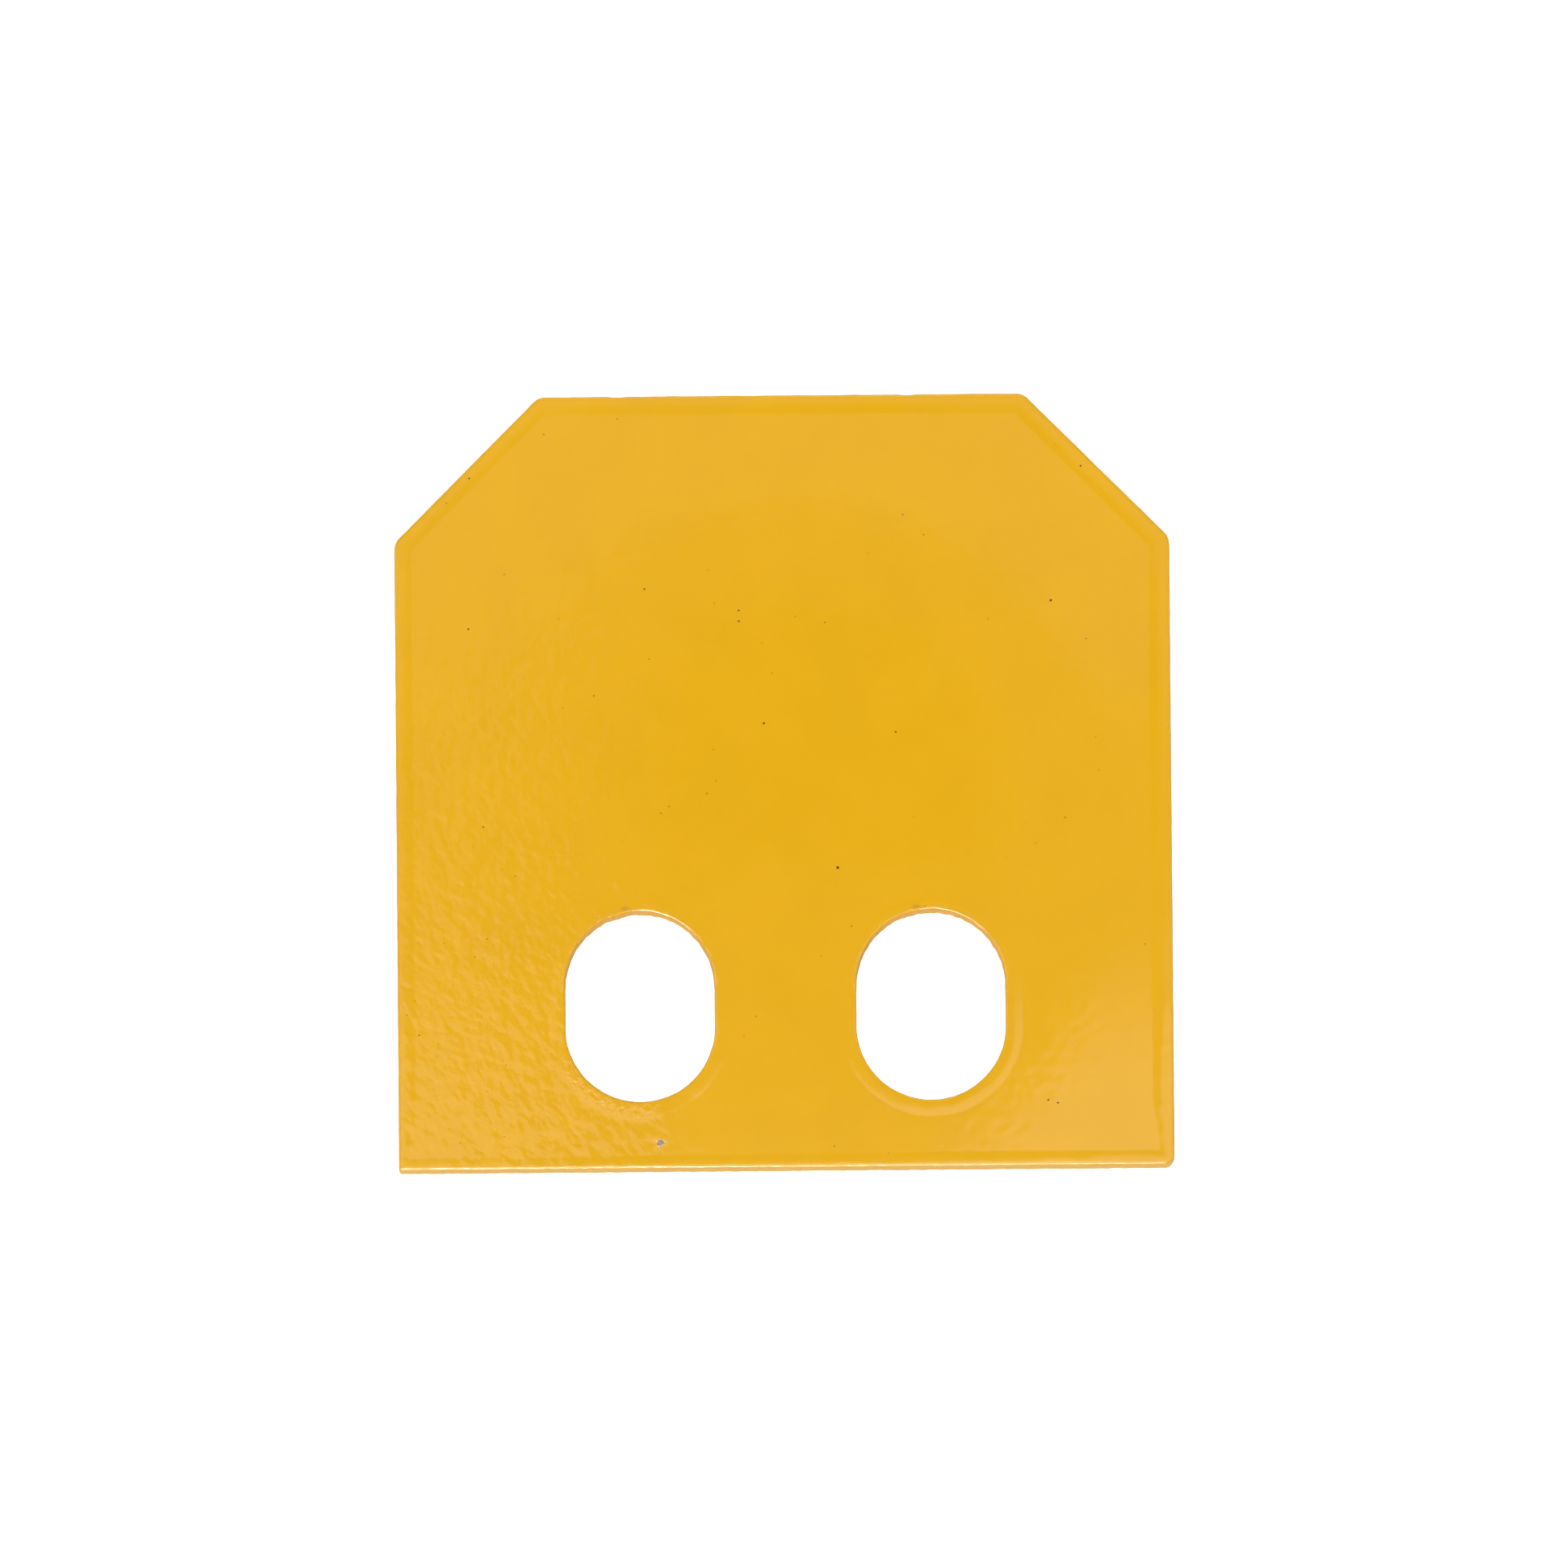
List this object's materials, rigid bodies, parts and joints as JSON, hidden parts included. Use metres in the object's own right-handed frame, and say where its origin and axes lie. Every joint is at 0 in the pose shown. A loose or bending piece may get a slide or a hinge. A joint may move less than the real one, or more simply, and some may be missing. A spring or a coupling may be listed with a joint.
{
  "type": "slotted mounting plate",
  "caption": "Flat square mounting plate with clipped upper corners and slotted bolt holes near its lower edge, in steel with a glossy golden-yellow powder coat.",
  "frame": {"origin": "centre of the finished plate's back face, which is the underside it lies on", "axes": "+Z out of the front face, +Y from the slotted lower edge towards the clipped corners, +X to the right as seen from the front"},
  "size_m": [0.08, 0.08, 0.005],
  "materials": {
    "steel": "satin",
    "yellow_coat": "gloss"
  },
  "bodies": {
    "root": {"steel_plate": "steel", "powder_coat": "yellow_coat"}
  },
  "joints": []
}
